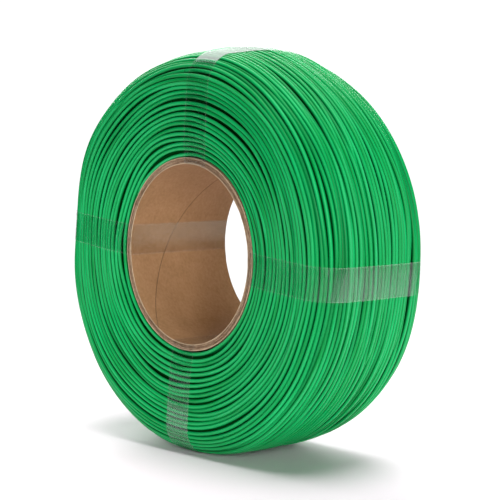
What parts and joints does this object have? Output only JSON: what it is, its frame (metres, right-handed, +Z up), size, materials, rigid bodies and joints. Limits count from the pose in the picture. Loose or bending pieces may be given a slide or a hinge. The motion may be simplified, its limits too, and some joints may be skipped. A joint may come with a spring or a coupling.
{
  "type": "filament spool",
  "caption": "Flangeless refill coil of 3D printer filament wound on a spiral cardboard core and held by bands of clear tape round the winding.",
  "frame": {"origin": "middle of the core's bore, on its axis", "axes": "+Y along the bore axis towards the back of the coil, +Z up as the coil stands on its rim, +X to the right seen from the front"},
  "size_m": [0.1714, 0.0612, 0.171],
  "materials": {
    "kraft_liner": "matt kraft paper",
    "core_board": "cut greyboard edge",
    "filament": "satin extruded",
    "clear_tape": "clear film"
  },
  "bodies": {
    "root": {"core_liner": "kraft_liner", "core_ply_2": "core_board", "core_ply_3": "core_board", "core_ply_4": "core_board", "core_ply_5": "core_board", "core_ply_6": "core_board", "core_wrap": "core_board", "filament_winding": "filament", "tape_top": "clear_tape", "tape_right": "clear_tape", "tape_bottom": "clear_tape", "tape_left": "clear_tape"}
  },
  "joints": []
}
